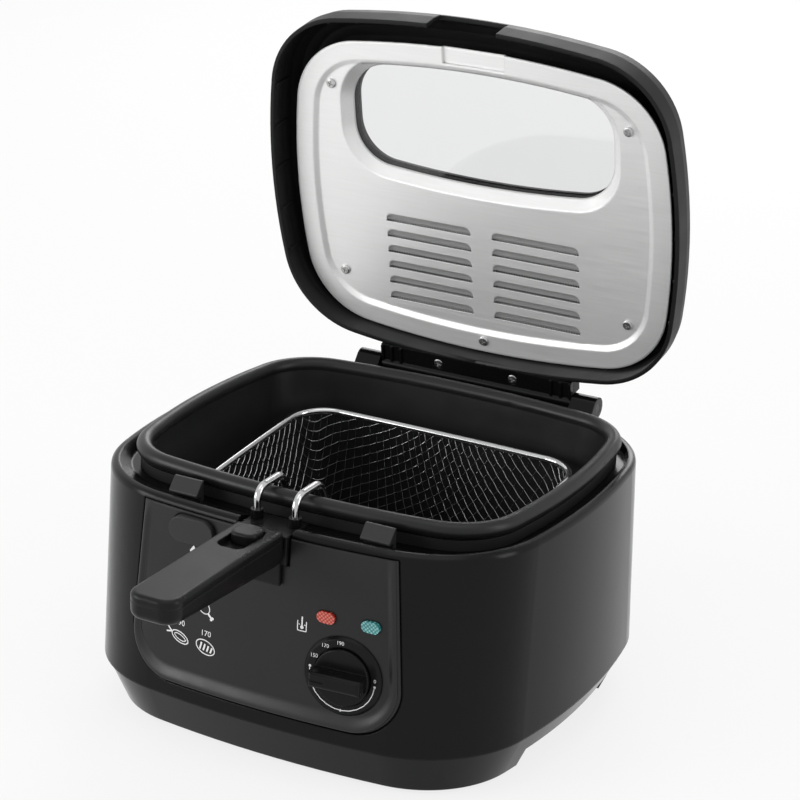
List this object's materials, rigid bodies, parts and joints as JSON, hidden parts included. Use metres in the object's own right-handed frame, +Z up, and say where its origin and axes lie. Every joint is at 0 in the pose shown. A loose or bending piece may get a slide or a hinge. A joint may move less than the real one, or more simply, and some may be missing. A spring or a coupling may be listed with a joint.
{
  "type": "deep fryer",
  "caption": "Household deep fryer with a bowed black body, fixed coated pot, spring-open lid with viewing window and louvred liner, thermostat dial, and a wire basket with a folding handle.",
  "frame": {"origin": "on the floor, in the plane of the four feet, under the middle of the whole as it stands with the lid open and the handle out", "axes": "+X to the right seen from the front, +Y to the rear where the lid's hinge is, +Z up"},
  "size_m": [0.2652, 0.365, 0.3578],
  "materials": {
    "gloss_black": "gloss",
    "satin_black": "satin",
    "coated_metal": "non-stick coating, satin",
    "rubber": "matte",
    "steel": "satin",
    "bright_wire": "bright plated",
    "liner_sheet": "satin",
    "glass": "clear",
    "red_lens": "clear red",
    "green_lens": "clear green"
  },
  "bodies": {
    "base": {"housing": "gloss_black", "hinge_pin": "steel", "base_tray": "gloss_black", "rubber_feet": "rubber", "foot_screws": "steel", "inner_pot": "coated_metal", "pot_seal": "rubber", "heating_element": "steel", "cord_gland": "rubber", "lid_catches": "gloss_black", "control_panel": "satin_black", "power_lens": "red_lens", "ready_lens": "green_lens", "dial_bezel": "satin_black", "thermostat_body": "steel"},
    "lid": {"lid_shell": "gloss_black", "lid_liner": "liner_sheet", "liner_screws": "steel", "lid_window": "glass", "window_seal": "rubber", "steam_filter": "steel", "hinge_plate": "satin_black", "hinge_screws": "steel"},
    "button": {"release_button": "gloss_black"},
    "dial": {"dial_knob": "satin_black", "thermostat_shaft": "steel"},
    "basket": {"basket_mesh": "bright_wire", "basket_rim": "bright_wire", "hook_wires": "bright_wire", "wire_collars": "bright_wire", "handle_bracket": "satin_black"},
    "handle": {"handle_lower_shell": "satin_black", "handle_upper_shell": "satin_black", "handle_pivot_pin": "steel"},
    "slider": {"handle_slider": "satin_black"}
  },
  "joints": [
    {"name": "lid_hinge", "type": "hinge", "parent": "base", "child": "lid", "pos_m": [0, 0.16095, 0.1401], "axis": [-1, 0, 0], "range_deg": [-80.1, 0], "stiffness_Nm_per_rad": 0.5, "springref_deg": 20.05},
    {"name": "release_push", "type": "slide", "parent": "base", "child": "button", "axis": [0, 1, 0], "range_m": [0, 0.003], "stiffness_N_per_m": 400, "springref_m": -0.0015},
    {"name": "dial_turn", "type": "hinge", "parent": "base", "child": "dial", "pos_m": [0.04968, -0.07959, 0.06585], "axis": [-0.0869, 0.9945, -0.0581], "range_deg": [-180, 97]},
    {"name": "basket_lift", "type": "slide", "parent": "base", "child": "basket", "axis": [0, 0, 1], "range_m": [0, 0.14]},
    {"name": "handle_fold", "type": "hinge", "parent": "basket", "child": "handle", "pos_m": [0, -0.08815, 0.1264], "axis": [1, 0, 0], "range_deg": [0, 80]},
    {"name": "slider_pull", "type": "slide", "parent": "handle", "child": "slider", "axis": [0, -1, 0], "range_m": [0, 0.008], "stiffness_N_per_m": 200, "springref_m": -0.002}
  ]
}
